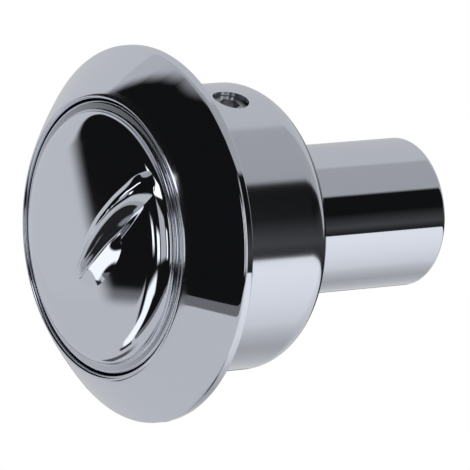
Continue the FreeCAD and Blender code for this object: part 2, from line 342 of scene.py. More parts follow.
class Finish:
    """A material that is made once and shared."""

    name = "finish"

    def paint(self, graph: Graph) -> None:
        """Fills the material's graph."""
        raise NotImplementedError

    def material(self) -> bpy.types.Material:
        """Makes the material at its first use.

        Returns:
            The material.
        """
        made = bpy.data.materials.get(self.name)
        if made is None:
            made = bpy.data.materials.new(self.name)
            made.use_nodes = True
            self.paint(Graph(made.node_tree))
        return made


def white(level: float) -> tuple[float, float, float, float]:
    """An opaque grey."""
    return (level, level, level, 1.0)


@dataclass(frozen=True)
class ChromePlate(Finish):
    """Mirror-polished chrome whose polish is faintly uneven, with painted shade darkening its colour deep
    down between the button and the flange.
    """

    name: str = "mirror_chrome"
    colour: tuple = (0.745, 0.78, 0.87, 1.0)
    gap_shade_colour: tuple = (0.012, 0.012, 0.013, 1.0)
    haze: float = 0.025
    haze_spread: float = 0.03
    rim_haze: float = 0.09
    rim_zone: tuple = (26.2 * MM, 26.8 * MM, 30.8 * MM, 31.8 * MM)
    gap_shade_zone: tuple = (28.5 * MM, 28.7 * MM, 29.5 * MM, 29.7 * MM)
    gap_shade_depth: tuple = (-10.1 * MM, -9.8 * MM)
    ripple: float = 0.000002

    def paint(self, graph: Graph) -> None:
        """Low haze that varies slowly, fine wiping marks, hazier rims, a ripple of a few micrometres and
        painted shade deep down between the button and the flange.

        Args:
            graph: The material's graph.
        """
        place = graph.place()
        cloud = graph.noise(place, 45.0, 3.0)
        marks = graph.noise(graph.stretched(place, (1.0, 9.0, 1.0)), 900.0, 2.0)
        x, y, z = graph.parts(place)
        radius = (x * x + z * z).root()
        haze = self.haze + cloud.step(0.4, 0.8) * self.haze_spread * marks
        haze = haze + radius.band(*self.rim_zone) * self.rim_haze
        normal = graph.bump(graph.noise(place, 70.0, 1.0), 0.5, self.ripple)
        # Painted shade: the colour turns near black deep down between the button and the flange, where that
        # recess lies in shade.
        gap_shade = radius.band(*self.gap_shade_zone) * y.step(*self.gap_shade_depth)
        colour = graph.mix(gap_shade, self.colour, self.gap_shade_colour)
        graph.surface(Base_Color=colour, Metallic=1.0, Roughness=haze, Normal=normal)


@dataclass(frozen=True)
class PlainSteel(Finish):
    """Turned or drawn steel with fine tool marks round the axis."""

    name: str = "drawn_steel"
    colour: tuple = (0.47, 0.48, 0.50, 1.0)
    colour_dark: tuple = (0.36, 0.365, 0.38, 1.0)
    pitch: float = 0.0005
    thread_depth: float = 0.0

    def paint(self, graph: Graph) -> None:
        """Rings of tool marks along Y over a cloudy grey, with an optional thread.

        Args:
            graph: The material's graph.
        """
        place = graph.place()
        x, y, z = graph.parts(place)
        cloud = graph.noise(place, 220.0, 4.0)
        rings = graph.noise(graph.stretched(place, (0.0, 1.0, 0.0)), 5200.0, 2.0)
        colour = graph.mix(cloud.step(0.35, 0.75), self.colour, self.colour_dark)
        rough = 0.24 + rings * 0.16
        height = rings * 0.15
        depth = 0.00001
        if self.thread_depth:
            turn = graph.node("ShaderNodeMath", {"operation": "ARCTAN2"}, {0: x, 1: z}) / math.tau
            saw = graph.node("ShaderNodeMath", {"operation": "PINGPONG"}, {0: y / self.pitch + turn, 1: 0.5})
            height = saw * 2.0 + rings * 0.02
            depth = self.thread_depth
        normal = graph.bump(height, 0.8, depth)
        graph.surface(Base_Color=colour, Metallic=1.0, Roughness=rough, Normal=normal)


@dataclass(frozen=True)
class TurnedBrass(Finish):
    """Free-cutting brass as it leaves the lathe."""

    name: str = "turned_brass"
    colour: tuple = (0.72, 0.53, 0.24, 1.0)
    colour_dull: tuple = (0.50, 0.36, 0.17, 1.0)

    def paint(self, graph: Graph) -> None:
        """Fine turning rings over brass that has dulled a little in patches.

        Args:
            graph: The material's graph.
        """
        place = graph.place()
        rings = graph.noise(graph.stretched(place, (0.0, 1.0, 0.0)), 6000.0, 2.0)
        patch = graph.noise(place, 130.0, 5.0)
        colour = graph.mix(patch.step(0.45, 0.8) * 0.6, self.colour, self.colour_dull)
        normal = graph.bump(rings, 0.5, 0.000008)
        graph.surface(Base_Color=colour, Metallic=1.0, Roughness=0.2 + rings * 0.2, Normal=normal)


@dataclass(frozen=True)
class BlackRubber(Finish):
    """Moulded black rubber with a fine matt grain."""

    name: str = "moulded_rubber"
    colour: tuple = (0.022, 0.022, 0.024, 1.0)
    colour_bloom: tuple = (0.06, 0.06, 0.062, 1.0)

    def paint(self, graph: Graph) -> None:
        """A pale bloom in patches and a fine grain.

        Args:
            graph: The material's graph.
        """
        place = graph.place()
        grain = graph.noise(place, 5200.0, 3.0)
        bloom = graph.noise(place, 160.0, 4.0)
        colour = graph.mix(bloom.step(0.5, 0.9), self.colour, self.colour_bloom)
        normal = graph.bump(grain, 0.35, 0.00003)
        graph.surface(Base_Color=colour, Roughness=0.62 + grain * 0.2, Normal=normal)


@dataclass(frozen=True)
class WhitePlastic(Finish):
    """Natural white engineering plastic with a slight mould texture."""

    name: str = "natural_plastic"
    colour: tuple = (0.74, 0.735, 0.70, 1.0)
    colour_deep: tuple = (0.66, 0.65, 0.60, 1.0)

    def paint(self, graph: Graph) -> None:
        """Slow tint changes and a faint turned texture.

        Args:
            graph: The material's graph.
        """
        place = graph.place()
        tint = graph.noise(place, 90.0, 3.0)
        grain = graph.noise(place, 3000.0, 3.0)
        colour = graph.mix(tint.step(0.3, 0.8), self.colour, self.colour_deep)
        normal = graph.bump(grain, 0.25, 0.00002)
        graph.surface(Base_Color=colour, Roughness=0.38 + grain * 0.12, Normal=normal)


CHROME = ChromePlate()
STEEL = PlainSteel()
THREAD_STEEL = PlainSteel(name="threaded_steel", pitch=1.25 * MM, thread_depth=0.0006)
BRASS = TurnedBrass()
RUBBER = BlackRubber()
PLASTIC = WhitePlastic()


@dataclass(frozen=True)
class Corner:
    """A corner of a turned outline: its radius, its place along the axis and how much it is rounded."""

    radius: float
    y: float
    round: float = 0.0
    steps: int = 8
    hard: bool = True


def finish_piece(name: str, bm: bmesh.types.BMesh, body: Body,
                 finish: Finish) -> bpy.types.Object:
    """Makes the object of a piece and lets it ride on its body.

    Args:
        name: The piece's name.
        bm: Its mesh, which is freed.
        body: The body that it rides on.
        finish: Its material.

    Returns:
        The object.
    """
    bmesh.ops.remove_doubles(bm, verts=bm.verts, dist=WELD)
    bmesh.ops.recalc_face_normals(bm, faces=bm.faces)
    for face in bm.faces:
        face.smooth = True
    mesh = bpy.data.meshes.new(name)
    bm.to_mesh(mesh)
    bm.free()
    mesh.materials.append(finish.material())
    obj = bpy.data.objects.new(name, mesh)
    bpy.context.scene.collection.objects.link(obj)
    even = obj.modifiers.new("even_normals", "WEIGHTED_NORMAL")
    even.mode = "FACE_AREA"
    even.weight = 50
    even.keep_sharp = True
    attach(obj, body.value)
    log.info("%s: %d faces", name, len(mesh.polygons))
    return obj


def ring_edges(bm: bmesh.types.BMesh, radius: float, y: float) -> list[bmesh.types.BMEdge]:
    """The edges that run round the axis at one radius and place.

    Args:
        bm: The mesh.
        radius: The radius of the ring.
        y: Its place along the axis.

    Returns:
        The edges of the ring.
    """
    near = 2e-6

    def on_ring(v: bmesh.types.BMVert) -> bool:
        """Whether a vertex lies on the ring."""
        return abs(v.co.y - y) < near and abs(math.hypot(v.co.x, v.co.z) - radius) < near

    return [e for e in bm.edges if on_ring(e.verts[0]) and on_ring(e.verts[1])]


def turn_outline(corners: Sequence[Corner], segments: int, closed: bool = True) -> bmesh.types.BMesh:
    """Spins an outline about the axis and rounds its corners.

    Args:
        corners: The outline, in order.
        segments: Steps of the full turn.
        closed: Whether the last corner joins the first.

    Returns:
        The turned mesh.
    """
    bm = bmesh.new()
    verts = [bm.verts.new((c.radius, c.y, 0.0)) for c in corners]
    pairs = list(zip(verts, verts[1:])) + ([(verts[-1], verts[0])] if closed else [])
    edges = [bm.edges.new(pair) for pair in pairs]
    bmesh.ops.spin(
        bm, geom=verts + edges, cent=CENTRE, axis=AXIS, dvec=CENTRE, angle=math.tau,
        steps=segments, use_merge=True, use_normal_flip=False, use_duplicate=False,
    )
    bmesh.ops.remove_doubles(bm, verts=bm.verts, dist=WELD)
    bmesh.ops.recalc_face_normals(bm, faces=bm.faces)
    for i, corner in enumerate(corners):
        if corner.radius < 1e-6:
            continue
        ring = ring_edges(bm, corner.radius, corner.y)
        if corner.round > 0.0:
            before = corners[i - 1]
            after = corners[(i + 1) % len(corners)]
            bevel_ring(bm, ring, before, corner, after)
        elif corner.hard:
            for edge in ring:
                edge.smooth = False
    return bm


def bevel_ring(bm: bmesh.types.BMesh, ring: list[bmesh.types.BMEdge], before: Corner, corner: Corner,
               after: Corner) -> None:
    """Rounds one ring of a turned mesh to the corner's radius.

    Args:
        bm: The mesh.
        ring: The ring's edges.
        before: The corner before it.
        corner: The corner to round.
        after: The corner after it.
    """
    back = Vector((before.radius - corner.radius, before.y - corner.y))
    ahead = Vector((after.radius - corner.radius, after.y - corner.y))
    offset = corner.round / math.tan(back.angle(ahead) / 2)
    bmesh.ops.bevel(
        bm, geom=ring, offset=offset, offset_type="OFFSET", segments=corner.steps, profile=0.5,
        affect="EDGES", clamp_overlap=True, material=-1,
    )


def reach(node: str) -> tuple[float, float, float]:
    """The largest radius and the two ends along Y of a node.

    Args:
        node: The node's name.

    Returns:
        The radius, the front end and the back end.
    """
    low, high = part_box(node)
    return high[0], low[1], high[1]


@dataclass
class WallFlange:
    """The chromed flange: cone, rim, lip, well and spigot."""

    segments: int = 320
    rim_round: float = 0.9 * MM
    back_round: float = 0.5 * MM
    lip_round: float = 0.8 * MM
    face_edge: tuple = (39.5 * MM, -2.4 * MM)
    lip_corner: float = -11.7 * MM
    well_radius: float = 29.25 * MM
    face_crown: float = 0.25 * MM
    face_rings: int = 13
    face_start: float = 0.16
    face_share: float = 0.78
    well_floor: float = 0.0
    seat: float = 2.5 * MM
    sleeve_radius: float = 30.3 * MM
    land_inner: float = 37.6 * MM
    recess: float = -2.0 * MM
    spigot_wall: float = 2.4 * MM
    spigot_inset: float = 2.53 * MM

    def corners(self) -> list[Corner]:
        """Works out the flange's outline, with a slightly crowned cone.

        Returns:
            The outline's corners.
        """
        rim, front, end = reach("wall_flange")
        spigot = reach("housing")[0] - self.spigot_inset
        bore = spigot - self.spigot_wall
        slope = (self.face_edge[1] - self.lip_corner) / (self.face_edge[0] - self.well_radius)
        rim_y = self.face_edge[1] + slope * (rim - self.face_edge[0])
        normal = Vector((slope, -1.0)).normalized() * self.face_crown
        face = []
        for i in range(self.face_rings):
            t = self.face_start + self.face_share * i / (self.face_rings - 1)
            rise = 4.0 * t * (1.0 - t)
            radius = self.well_radius + (rim - self.well_radius) * t + normal.x * rise
            y = self.lip_corner + (rim_y - self.lip_corner) * t + normal.y * rise
            face.append(Corner(radius, y, hard=False))
        return [
            Corner(self.well_radius, self.lip_corner, self.lip_round, 12),
            *face,
            Corner(rim, rim_y, self.rim_round, 10),
            Corner(rim, 0.0, self.back_round, 8),
            Corner(self.land_inner, 0.0),
            Corner(self.land_inner, self.recess),
            Corner(self.sleeve_radius, self.recess),
            Corner(self.sleeve_radius, self.seat),
            Corner(spigot, self.seat),
            Corner(spigot, end),
            Corner(bore, end),
            Corner(bore, self.well_floor),
            Corner(self.well_radius, self.well_floor),
        ]

    def build(self) -> None:
        """Makes the flange."""
        bm = turn_outline(self.corners(), self.segments)
        flange = finish_piece("chrome_flange", bm, Body.FIXED, CHROME)
        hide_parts("wall_flange")


@dataclass
class Housing:
    """The chromed cup behind the flange with the screw in its side."""

    segments: int = 320
    wall: float = 2.5 * MM
    floor: float = 3.5 * MM
    corner: float = 6.8 * MM
    seat: float = 2.5 * MM
    neck_step: float = 0.2 * MM
    bore_gap: float = 0.05 * MM
    front_round: float = 0.25 * MM
    screw_station: float = 14.6 * MM
    screw_angle: float = 69.0
    screw_radius: float = 3.95 * MM
    screw_segments: int = 96

    def build(self) -> None:
        """Makes the cup and cuts the screw hole into it."""
        outer, _front, end = reach("housing")
        neck = reach("barrel")[0] - self.neck_step + self.bore_gap
        bore = outer - self.wall
        bm = turn_outline(
            [
                Corner(outer, self.seat, self.front_round, 4),
                Corner(outer, end, self.corner, 24),
                Corner(neck, end),
                Corner(neck, end - self.floor),
                Corner(bore, end - self.floor, self.corner - self.wall, 12),
                Corner(bore, self.seat),
            ],
            self.segments,
        )
        cup = finish_piece("chrome_housing", bm, Body.FIXED, CHROME)
        self.cut_screw_hole(cup, outer)
        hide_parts("housing")

    def cut_screw_hole(self, cup: bpy.types.Object, outer: float) -> None:
        """Cuts the round hole.

        Args:
            cup: The housing.
            outer: Its outer radius.
        """
        bm = bmesh.new()
        bmesh.ops.create_cone(
            bm, cap_ends=True, segments=self.screw_segments, radius1=self.screw_radius,
            radius2=self.screw_radius, depth=outer,
        )
        bmesh.ops.translate(bm, verts=bm.verts, vec=(0.0, self.screw_station, outer))
        spin = Matrix.Rotation(math.radians(90.0 - self.screw_angle), 4, "Y")
        bmesh.ops.transform(bm, matrix=spin, verts=bm.verts)
        mesh = bpy.data.meshes.new("screw_hole_tool")
        bm.to_mesh(mesh)
        bm.free()
        tool = bpy.data.objects.new("screw_hole_tool", mesh)
        bpy.context.scene.collection.objects.link(tool)
        cut = cup.modifiers.new("screw_hole", "BOOLEAN")
        cut.operation = "DIFFERENCE"
        cut.solver = "EXACT"
        cut.object = tool
        apply_modifiers(cup, ["screw_hole"])
        bpy.data.objects.remove(tool)


def apply_modifiers(obj: bpy.types.Object, names: Iterable[str]) -> None:
    """Applies the named modifiers of an object, and keeps the others.

    Args:
        obj: The object.
        names: The modifiers to apply.
    """
    kept = [m for m in obj.modifiers if m.name not in names]
    for modifier in kept:
        modifier.show_viewport = False
        modifier.show_render = False
    graph = bpy.context.evaluated_depsgraph_get()
    mesh = bpy.data.meshes.new_from_object(obj.evaluated_get(graph))
    old = obj.data
    obj.data = mesh
    bpy.data.meshes.remove(old)
    for name in names:
        obj.modifiers.remove(obj.modifiers[name])
    for modifier in kept:
        modifier.show_viewport = True
        modifier.show_render = True


@dataclass
class Barrel:
    """The chromed tube."""

    segments: int = 256
    neck_step: float = 0.2 * MM
    bore: float = 13.0 * MM
    recess_bore: float = 13.6 * MM
    recess_start: float = 56.5 * MM
    shoulder: float = 28.6 * MM
    edge: float = 1.3 * MM
    shoulder_round: float = 0.15 * MM
    recess_round: float = 0.2 * MM

    def build(self) -> None:
        """Makes the tube."""
        outer, front, end = reach("barrel")
        neck = outer - self.neck_step
        bm = turn_outline(
            [
                Corner(neck, front),
                Corner(neck, self.shoulder),
                Corner(outer, self.shoulder, self.shoulder_round, 3),
                Corner(outer, end, self.edge, 14),
                Corner(self.recess_bore, end, self.recess_round, 4),
                Corner(self.recess_bore, self.recess_start),
                Corner(self.bore, self.recess_start),
                Corner(self.bore, front),
            ],
            self.segments,
        )
        tube = finish_piece("chrome_barrel", bm, Body.FIXED, CHROME)
        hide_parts("barrel")


@dataclass(frozen=True)
class FinStation:
    """The fin's section at one share of its length, in millimetres from its left edge and its base."""

    share: float
    left: float
    crest: float
    shoulder: float
    top: float
    fall: float
    toe: float
    ledge: float
    foot: float


FIN_STATIONS = [
    FinStation(-0.05, 0.9, -1.5, 0.4, 2.4, 0.2, 3.4, -1.6, 3.9),
    FinStation(0, 0.4, 0.7, 0.5, 3.1, 0.25, 5, -0.65, 5.5),
    FinStation(0.05, 0, 1.85, 0.8, 3.4, 0.3, 5.9, -0.6, 6.5),
    FinStation(0.12, 0, 3, 1.1, 3.5, 0.3, 6, -0.6, 7.1),
    FinStation(0.25, 0, 4.3, 0.95, 3.3, 0.3, 5.2, -0.5, 7.8),
    FinStation(0.4, 0, 4.9, 0.8, 3, 0.3, 4.6, -0.1, 9),
    FinStation(0.5, 0.05, 5, 0.75, 2.9, 0.3, 4.3, 0.5, 9.8),
    FinStation(0.62, 0.25, 4.8, 0.7, 2.8, 0.3, 3.9, 1.1, 10.2),
    FinStation(0.75, 0.7, 4.3, 0.65, 2.8, 0.3, 3.6, 1.4, 10),
    FinStation(0.87, 1.05, 3.55, 0.6, 2.7, 0.3, 3.3, 1.4, 9.5),
    FinStation(0.93, 1.1, 2.9, 0.5, 2.6, 0.3, 3.1, 1.25, 8.9),
    FinStation(0.98, 1.1, 2.1, 0.4, 2.5, 0.25, 2.9, 1.05, 8.1),
    FinStation(1.03, 1.5, 1.2, 0.3, 2.4, 0.2, 2.8, 0.8, 6.4),
]


def between_stations(stations: Sequence[FinStation], share: float) -> FinStation:
    """The section at any share of the length, on a smooth curve through the stations.

    Args:
        stations: The stations, by rising share.
        share: Where the section is wanted.

    Returns:
        The section there.
    """
    rows = [astuple(station) for station in stations]
    k = max(i for i in range(len(rows) - 1) if rows[i][0] <= share or i == 0)
    near, far = rows[k], rows[k + 1]
    before, after = rows[max(k - 1, 0)], rows[min(k + 2, len(rows) - 1)]
    span = far[0] - near[0]
    t = (share - near[0]) / span
    values = []
    for a, b, c, d in zip(before, near, far, after):
        start = (c - a) / (far[0] - before[0]) * span
        finish = (d - b) / (after[0] - near[0]) * span
        values.append(
            b * (2 * t ** 3 - 3 * t ** 2 + 1) + start * (t ** 3 - 2 * t ** 2 + t)
            + c * (3 * t ** 2 - 2 * t ** 3) + finish * (t ** 3 - t ** 2)
        )
    return FinStation(*values)


def softened(points: Sequence[Vector], amounts: Sequence[float]) -> list[Vector]:
    """An open outline whose inner corners are rounded.

    Args:
        points: The outline.
        amounts: How far from each inner corner its rounding starts, at most EDGE_SHARE of an edge.

    Returns:
        The outline with three points for each inner corner.
    """
    result = [points[0]]
    for before, corner, after, amount in zip(points, points[1:], points[2:], amounts):
        back, ahead = before - corner, after - corner
        start = corner + back.normalized() * min(amount, back.length * EDGE_SHARE)
        finish = corner + ahead.normalized() * min(amount, ahead.length * EDGE_SHARE)
        result += [start, (start + corner * 2.0 + finish) / 4.0, finish]
    return result + [points[-1]]


@dataclass
class ButtonCap:
    """The cast button: annulus, domed disc, fin, skirt and boss."""

    segments: int = 320
    annulus_front: float = -10.6 * MM
    annulus_back: float = -8.8 * MM
    annulus_edge: float = 0.5 * MM
    disc_radius: float = 26.7 * MM
    disc_front: float = -13.0 * MM
    dome: float = 0.8 * MM
    shoulder_start: float = 20.5 * MM
    shoulder_drop: float = 1.75 * MM
    dome_rings: int = 20
    shoulder_rings: int = 28
    disc_root: float = 0.5 * MM
    skin: float = 2.8 * MM
    skirt_radius: float = 25.67 * MM
    skirt_wall: float = 2.4 * MM
    skirt_end: float = 8.0 * MM
    boss_radius: float = 8.5 * MM
    boss_end: float = -2.0 * MM
    boss_bore: float = 5.05 * MM
    boss_depth: float = 8.7 * MM
    fin_head: Vector = Vector((18.3 * MM, 0.0, 16.0 * MM))
    fin_tip: Vector = Vector((-4.6 * MM, 0.0, -6.3 * MM))
    fin_base: float = -13.4 * MM
    fin_foot_height: float = -0.2
    fin_embed: float = 2.4
    fin_sink: float = 0.3
    fin_ledge_share: float = 0.6
    fin_softening: tuple = (0.25, 0.6, 0.9, 0.3, 1.0, 0.2)
    fin_sections: int = 96

    def build(self) -> None:
        """Makes the cap and its fin."""
        outer = reach("button_cap")[0]
        ceiling = self.disc_front + self.skin
        bore = self.skirt_radius - self.skirt_wall
        corners = [Corner(radius, self.disc_y(radius), hard=False) for radius in self.disc_rings()] + [
            Corner(self.disc_radius, self.annulus_front, self.disc_root),
            Corner(outer, self.annulus_front, self.annulus_edge),
            Corner(outer, self.annulus_back),
            Corner(self.skirt_radius, self.annulus_back),
            Corner(self.skirt_radius, self.skirt_end),
            Corner(bore, self.skirt_end),
            Corner(bore, ceiling),
            Corner(self.boss_radius, ceiling),
            Corner(self.boss_radius, self.boss_end),
            Corner(self.boss_bore, self.boss_end),
            Corner(self.boss_bore, self.boss_end - self.boss_depth),
            Corner(0.0, self.boss_end - self.boss_depth),
        ]
        bm = turn_outline(corners, self.segments, closed=False)
        cap = finish_piece("chrome_button", bm, Body.BUTTON, CHROME)
        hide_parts("button_cap")
        self.build_fin()

    def disc_rings(self) -> list[float]:
        """Works out the radii of the disc's rings, closer together towards its edge.

        Returns:
            The radii, from the axis out.
        """
        flat, width = self.shoulder_start, self.disc_radius - self.shoulder_start
        quarter = math.pi / 2
        dome = [flat * i / self.dome_rings for i in range(self.dome_rings)]
        shoulder = [
            flat + width * math.sin(quarter * i / self.shoulder_rings) for i in range(self.shoulder_rings + 1)
        ]
        return dome + shoulder

    def disc_y(self, radius: float) -> float:
        """Works out the domed disc's face, with its broad shoulder.

        Args:
            radius: The distance from the axis.

        Returns:
            The place of the face along Y.
        """
        dome = self.disc_front - self.dome * (1.0 - (radius / self.disc_radius) ** 2)
        width = self.disc_radius - self.shoulder_start
        share = max(0.0, min(1.0, (radius - self.shoulder_start) / width))
        return dome + self.shoulder_drop * (1.0 - math.sqrt(1.0 - share * share))

    def section(self, share: float) -> list[Vector]:
        """The fin's section at one share of its length, from its left wall to its right wall.

        Args:
            share: From the fin's head at 0 to its tip at 1.

        Returns:
            The points of the section.
        """
        along = self.fin_tip - self.fin_head
        place = self.fin_head + along * share
        across = Vector((-along.z, 0.0, along.x)).normalized()
        at = between_stations(FIN_STATIONS, share)
        foot = place + across * (at.foot * MM)
        disc = (self.fin_base - self.disc_y(math.hypot(foot.x, foot.z))) / MM
        foot_height = min(self.fin_foot_height, disc - self.fin_sink)
        middle = at.ledge * self.fin_ledge_share + foot_height * (1.0 - self.fin_ledge_share)
        outline = [
            Vector((at.left, -self.fin_embed)),
            Vector((at.left, at.crest - at.shoulder)),
            Vector(((at.left + at.top) / 2.0, at.crest)),
            Vector((at.top, at.crest - at.fall)),
            Vector((at.toe, at.ledge)),
            Vector(((at.toe + at.foot) / 2.0, middle)),
            Vector((at.foot, foot_height)),
            Vector((at.foot, -self.fin_embed)),
        ]
        return [
            place + across * (p.x * MM) + Vector((0.0, self.fin_base - p.y * MM, 0.0))
            for p in softened(outline, self.fin_softening)
        ]

    def build_fin(self) -> None:
        """Bridges the fin's sections into a closed solid."""
        first, last = FIN_STATIONS[0].share, FIN_STATIONS[-1].share
        middle, half = (first + last) / 2.0, (last - first) / 2.0
        bm = bmesh.new()
        loops = []
        for i in range(self.fin_sections):
            share = middle - half * math.cos(math.pi * i / (self.fin_sections - 1))
            verts = [bm.verts.new(p) for p in self.section(share)]
            loops.append([bm.edges.new(pair) for pair in zip(verts, verts[1:] + verts[:1])])
        for loop, following in zip(loops, loops[1:]):
            bmesh.ops.bridge_loops(bm, edges=loop + following)
        bmesh.ops.holes_fill(bm, edges=loops[0] + loops[-1], sides=0)
        fin = finish_piece("chrome_fin", bm, Body.BUTTON, CHROME)
        smooth = fin.modifiers.new("smooth_fin", "SUBSURF")
        smooth.levels = smooth.render_levels = 2
        fin.modifiers.remove(fin.modifiers["even_normals"])
        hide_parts("button_cap")


@dataclass
class ReturnSpring:
    """The coil spring that pushes the button out."""

    wire_radius: float = 0.9 * MM
    wire_sides: int = 16
    steps: int = 48
    turns: float = 5.0
    end_turns: float = 0.75
    end_pitch: float = 1.85 * MM

    def build(self) -> None:
        """Spins the wire's section into two closed ends and the coils between them."""
        outer, front, back = reach("return_spring")
        mean = outer - self.wire_radius
        closed = (self.end_turns, self.end_turns * self.end_pitch)
        active = (self.turns, back - front - 2.0 * (self.wire_radius + closed[1]))
        bm = bmesh.new()
        face_on = Matrix.Translation((mean, front + self.wire_radius, 0.0))
        ring = bmesh.ops.create_circle(
            bm, segments=self.wire_sides, radius=self.wire_radius, matrix=face_on,
        )
        part = ring["verts"] + list({edge for vert in ring["verts"] for edge in vert.link_edges})
        for turns, rise in (closed, active, closed):
            count = round(turns * self.steps)
            spun = bmesh.ops.spin(
                bm, geom=part, cent=CENTRE, axis=AXIS, dvec=Vector(AXIS) * (rise / count),
                angle=math.tau * turns, steps=count, use_merge=False, use_normal_flip=False,
                use_duplicate=False,
            )
            part = spun["geom_last"]
        bmesh.ops.holes_fill(bm, edges=[edge for edge in bm.edges if edge.is_boundary], sides=0)
        spring = finish_piece("coil_spring", bm, Body.FIXED, STEEL)
        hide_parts("return_spring")
        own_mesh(spring)


class CarriedNodes:
    """The nodes whose solids are shown as they are, and their finishes."""

    FINISHES = {
        "flange_set_screw": STEEL,
        "wall_gasket": RUBBER,
        "spigot_seal": RUBBER,
        "barrel_seal": RUBBER,
        "button_seal": RUBBER,
        "barrel_lock_nut": STEEL,
        "stem_guide_bush": BRASS,
        "spring_washer": STEEL,
        "rod_end_bush": PLASTIC,
        "bush_retaining_ring": STEEL,
        "button_stem": BRASS,
        "stem_lock_nut": STEEL,
        "stop_washer": STEEL,
        "stop_ring": STEEL,
        "push_rod": THREAD_STEEL,
        "rod_lock_nut": STEEL,
        "rod_tip": PLASTIC,
    }

    def dress(self) -> None:
        """Gives each carried node its finish."""
        for name, finish in self.FINISHES.items():
            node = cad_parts[name]
            node.data.materials.clear()
            node.data.materials.append(finish.material())
            log.info("%s: %s", name, finish.name)


@dataclass(frozen=True)
class Lamp:
    """A square lamp: its place and size in metres and its power in watts."""

    name: str
    place: tuple[float, float, float]
    size: float
    power: float


LAMPS = (
    Lamp("key_lamp", (0.9, -1.3, 1.6), 1.2, 22.0),
    Lamp("fill_lamp", (-1.4, -0.9, 0.9), 1.4, 11.0),
    Lamp("back_lamp", (0.6, 1.5, 1.1), 1.2, 14.0),
)


@dataclass(frozen=True)
class Patch:
    """A patch of the room: where each of its soft edges starts and ends, in degrees, and its brightness."""

    turn: tuple[float, float, float, float]
    rise: tuple[float, float, float, float]
    level: float


# A side wall, three tall soft boxes, three narrow windows and a dim doorway
ROOM_LIGHTS = (
    Patch((80.0, 85.0, 116.0, 122.0), (-26.0, -20.0, 30.0, 38.0), 0.42),
    Patch((43.0, 44.5, 51.5, 53.0), (-19.0, -14.0, 14.0, 22.0), 1.6),
    Patch((72.0, 73.5, 78.5, 80.0), (-19.0, -14.0, 14.0, 22.0), 1.6),
    Patch((104.0, 105.5, 110.5, 112.0), (-19.0, -14.0, 14.0, 22.0), 1.6),
    Patch((-41.0, -40.0, -37.5, -36.5), (-8.4, -6.4, -5.2, -3.2), 1.4),
    Patch((-31.5, -30.5, -25.5, -24.5), (-10.4, -8.4, -5.0, -3.0), 1.4),
    Patch((2.5, 3.5, 11.5, 12.5), (-12.0, -10.0, 1.0, 3.0), 1.3),
    Patch((-22.5, -21.5, -2.5, -1.5), (-11.0, -9.0, 4.0, 6.0), 0.5),
)
# Two dark things that lie on the pale table
TABLE_SHADES = (
    Patch((-77.0, -73.0, -50.0, -34.0), (-45.0, -42.0, -36.0, -33.5), 0.10),
    Patch((-51.5, -50.0, -43.5, -42.5), (-29.2, -28.4, -26.0, -25.0), 0.03),
)


